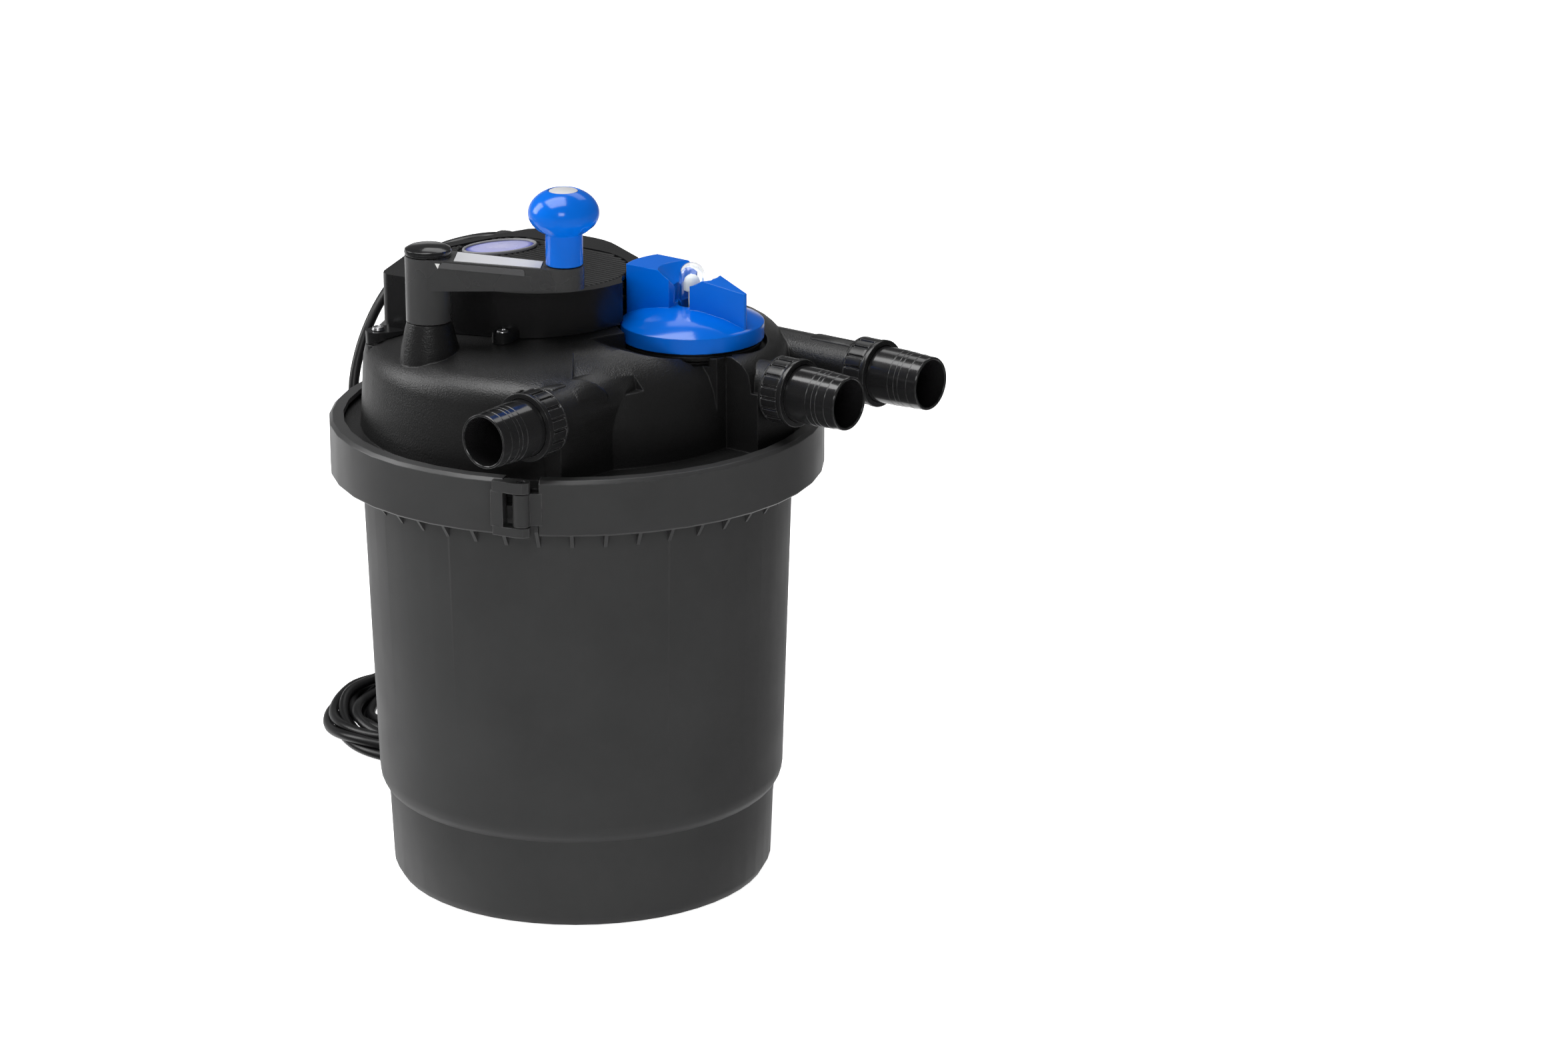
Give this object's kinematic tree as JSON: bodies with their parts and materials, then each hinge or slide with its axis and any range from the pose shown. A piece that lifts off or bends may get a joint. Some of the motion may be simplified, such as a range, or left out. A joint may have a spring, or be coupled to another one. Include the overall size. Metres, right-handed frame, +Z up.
{
  "type": "pressurised pond filter",
  "caption": "Round dark pond filter canister with a hinged clamp band, raised lamp cover, side crank, blue selector dial, hose tails and a coiled mains lead.",
  "frame": {"origin": "centre of the canister's underside", "axes": "+Z up; the front hose tail points along -Y and the other two hose tails along +X"},
  "size_m": [0.518, 0.3975, 0.445],
  "materials": {
    "canister": "satin moulded plastic",
    "band": "satin moulded plastic",
    "lid": "fine spark-eroded grain",
    "cover": "satin moulded plastic",
    "gloss_black": "gloss",
    "nut": "semi-gloss",
    "rubber": "matte",
    "blue": "gloss",
    "clear": "clear",
    "badge": "printed, under a clear coat",
    "grey": "satin",
    "steel": "zinc plated",
    "gland": "nickel plated",
    "foam_blue": "open-cell foam",
    "foam_yellow": "open-cell foam",
    "cage": "moulded plastic",
    "white": "smooth",
    "cord": "matte sheath"
  },
  "bodies": {
    "housing": {"canister": "canister", "lid": "lid", "lid_seal": "rubber", "clamp_band_left": "band", "band_hinge_pin": "steel", "latch_pin": "steel", "uv_cover": "cover", "badge": "badge", "indicator_window": "clear", "cover_screw_corner": "steel", "cover_screw_front": "steel", "cover_screw_back": "steel", "cover_screw_tip": "steel", "ballast": "grey", "lamp_socket": "grey", "uv_lamp": "white", "quartz_sleeve": "clear", "sleeve_nut": "white", "gland_body": "gland", "gland_nut": "gland", "cord_lead": "cord", "cord_coil": "cord", "cord_tail": "cord", "mains_plug": "cord", "hose_tail_front": "gloss_black", "hose_tail_side": "gloss_black", "hose_tail_rear": "gloss_black", "gasket_front": "rubber", "gasket_side": "rubber", "gasket_rear": "rubber", "dial_seal": "rubber", "shaft_seal": "rubber"},
    "band_half": {"clamp_band_right": "band"},
    "latch": {"latch_lever": "band"},
    "cage": {"cage_gear_plate": "cage", "centre_tube": "cage", "foam_disc_1": "foam_blue", "foam_disc_2": "foam_yellow", "foam_disc_3": "foam_blue", "foam_disc_4": "foam_yellow", "tie_rod_1": "steel", "tie_rod_2": "steel", "tie_rod_3": "steel", "cage_base_plate": "cage"},
    "crank": {"crank_arm": "cover", "crank_cap": "gloss_black", "arm_inlay": "grey", "drive_shaft": "steel", "pinion": "white", "knob_spindle": "steel"},
    "knob": {"knob": "blue", "knob_cap": "grey"},
    "dial": {"selector_dial": "blue", "sight_dome": "clear", "valve_rotor": "cage"},
    "nut_front": {"union_nut_front": "nut"},
    "nut_side": {"union_nut_side": "nut"},
    "nut_rear": {"union_nut_rear": "nut"}
  },
  "joints": [
    {"name": "band_open", "type": "hinge", "parent": "housing", "child": "band_half", "pos_m": [0.06996, -0.13382, 0.276], "axis": [0, 0, -1], "range_deg": [0, 7]},
    {"name": "latch_open", "type": "hinge", "parent": "housing", "child": "latch", "pos_m": [-0.0827, 0.12932, 0.276], "axis": [0, 0, 1], "range_deg": [0, 110]},
    {"name": "cage_turn", "type": "hinge", "parent": "housing", "child": "cage", "pos_m": [0, 0, 0.17], "axis": [0, 0, 1], "continuous": true},
    {"name": "crank_turn", "type": "hinge", "parent": "housing", "child": "crank", "pos_m": [-0.029, -0.0994, 0.365], "axis": [0, 0, 1], "continuous": true},
    {"name": "knob_spin", "type": "hinge", "parent": "crank", "child": "knob", "pos_m": [0.03686, -0.05328, 0.42], "axis": [0, 0, 1], "continuous": true},
    {"name": "dial_turn", "type": "hinge", "parent": "housing", "child": "dial", "pos_m": [0.069, 0.026, 0.35], "axis": [0, 0, 1], "range_deg": [-90, 90]},
    {"name": "nut_front_turn", "type": "hinge", "parent": "housing", "child": "nut_front", "pos_m": [0.068, -0.12, 0.3234], "axis": [0, -1, 0], "range_deg": [0, 720]},
    {"name": "nut_side_turn", "type": "hinge", "parent": "housing", "child": "nut_side", "pos_m": [0.143, 0.0255, 0.3234], "axis": [1, 0, 0], "range_deg": [0, 720]},
    {"name": "nut_rear_turn", "type": "hinge", "parent": "housing", "child": "nut_rear", "pos_m": [0.156, 0.089, 0.3234], "axis": [1, 0, 0], "range_deg": [0, 720]}
  ],
  "couplings": [
    {"joint": "latch_open", "follows": "band_open", "ratio": 15.7},
    {"joint": "crank_turn", "follows": "cage_turn", "ratio": -5}
  ]
}
